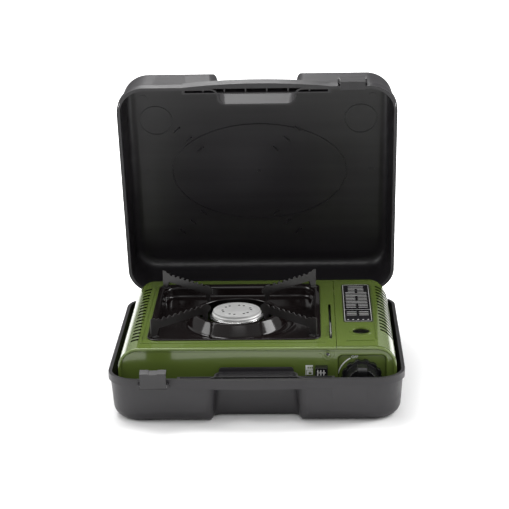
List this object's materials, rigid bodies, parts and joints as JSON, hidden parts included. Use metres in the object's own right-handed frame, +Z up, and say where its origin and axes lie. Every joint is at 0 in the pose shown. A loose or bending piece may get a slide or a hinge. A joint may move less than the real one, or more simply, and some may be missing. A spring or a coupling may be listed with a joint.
{
  "type": "cassette stove",
  "caption": "Portable butane cassette stove with drip pan, pot supports, side cartridge bay, rotary igniter knob and lock lever, in its open hinged carry case.",
  "frame": {"origin": "centre of the underside of the carry case's tray, on the floor", "axes": "+X to the right as the user faces the knob, +Y to the back where the case is hinged, +Z up"},
  "size_m": [0.365, 0.3872, 0.3815],
  "materials": {
    "case_plastic": "fine-textured black moulding",
    "latch_plastic": "smooth black moulding",
    "green_enamel": "satin olive green paint",
    "black_enamel": "glossy black enamel",
    "zinc_steel": "zinc plated sheet",
    "bright_steel": "bright plated",
    "cast_alloy": "die cast",
    "brass": "turned",
    "rubber": "matt",
    "knob_plastic": "semi-gloss black",
    "plate_black": "printed plate",
    "plate_white": "printed plate",
    "ceramic": "glazed ceramic",
    "lead_sleeve": "silicone sleeve"
  },
  "bodies": {
    "case": {"case_tray": "case_plastic", "hinge_pins": "bright_steel", "tray_latch_pin": "bright_steel"},
    "lid": {"case_lid": "case_plastic", "lid_latch_pin": "bright_steel"},
    "tray_latch_body": {"tray_latch": "latch_plastic"},
    "lid_latch_body": {"lid_latch": "latch_plastic"},
    "stove": {"hood": "green_enamel", "right_side": "green_enamel", "front_panel": "green_enamel", "rear_panel": "green_enamel", "base_plate": "zinc_steel", "feet": "rubber", "bay_wall": "zinc_steel", "cartridge_cradle": "zinc_steel", "cover_rod": "bright_steel", "burner_head": "cast_alloy", "burner_ring": "bright_steel", "burner_cap": "cast_alloy", "mixing_tube": "zinc_steel", "burner_bracket": "zinc_steel", "regulator_body": "cast_alloy", "regulator_cap": "cast_alloy", "cartridge_socket": "brass", "socket_seal": "rubber", "piezo_igniter": "knob_plastic", "gas_pipe": "brass", "gas_jet": "brass", "spark_electrode": "ceramic", "electrode_bracket": "zinc_steel", "ignition_lead": "lead_sleeve", "lever_guide": "zinc_steel", "lever_plate": "plate_white", "body_screws": "bright_steel"},
    "cover": {"cartridge_cover": "green_enamel", "cover_plate": "plate_black"},
    "knob_body": {"knob": "knob_plastic", "valve_spindle": "brass"},
    "lever": {"lock_lever": "knob_plastic"},
    "pusher": {"cartridge_pusher": "zinc_steel", "interlock_tab": "bright_steel", "pusher_spring": "bright_steel"},
    "pan": {"drip_pan": "black_enamel", "pan_support_1": "black_enamel", "pan_support_2": "black_enamel", "pan_support_3": "black_enamel", "pan_support_4": "black_enamel"}
  },
  "joints": [
    {"name": "lid_hinge", "type": "hinge", "parent": "case", "child": "lid", "pos_m": [0, 0.1655, 0.059], "axis": [-1, 0, 0], "range_deg": [-73.4, 21.6]},
    {"name": "tray_latch_hinge", "type": "hinge", "parent": "case", "child": "tray_latch_body", "pos_m": [-0.124, -0.1648, 0.0515], "axis": [1, 0, 0], "range_deg": [-5, 80]},
    {"name": "lid_latch_hinge", "type": "hinge", "parent": "lid", "child": "lid_latch_body", "pos_m": [0.124, 0.07832, 0.37768], "axis": [-1, 0, 0], "range_deg": [-5, 80]},
    {"name": "stove_lift", "type": "slide", "parent": "case", "child": "stove", "axis": [0, 0, 1], "range_m": [0, 0.1]},
    {"name": "cover_hinge", "type": "hinge", "parent": "stove", "child": "cover", "pos_m": [0.1673, 0, 0.0625], "axis": [0, 1, 0], "range_deg": [0, 60]},
    {"name": "pan_lift", "type": "slide", "parent": "stove", "child": "pan", "axis": [0, 0, 1], "range_m": [0, 0.06]},
    {"name": "knob_turn", "type": "hinge", "parent": "stove", "child": "knob_body", "pos_m": [0.1295, -0.13, 0.044], "axis": [0, -1, 0], "range_deg": [0, 110]},
    {"name": "lever_slide", "type": "slide", "parent": "stove", "child": "lever", "axis": [0, 0, -1], "range_m": [0, 0.018]},
    {"name": "pusher_slide", "type": "slide", "parent": "stove", "child": "pusher", "axis": [0, -1, 0], "range_m": [0, 0.008], "deforming": ["pusher_spring"]}
  ],
  "couplings": [
    {"joint": "pusher_slide", "follows": "lever_slide", "ratio": 0.4444}
  ]
}
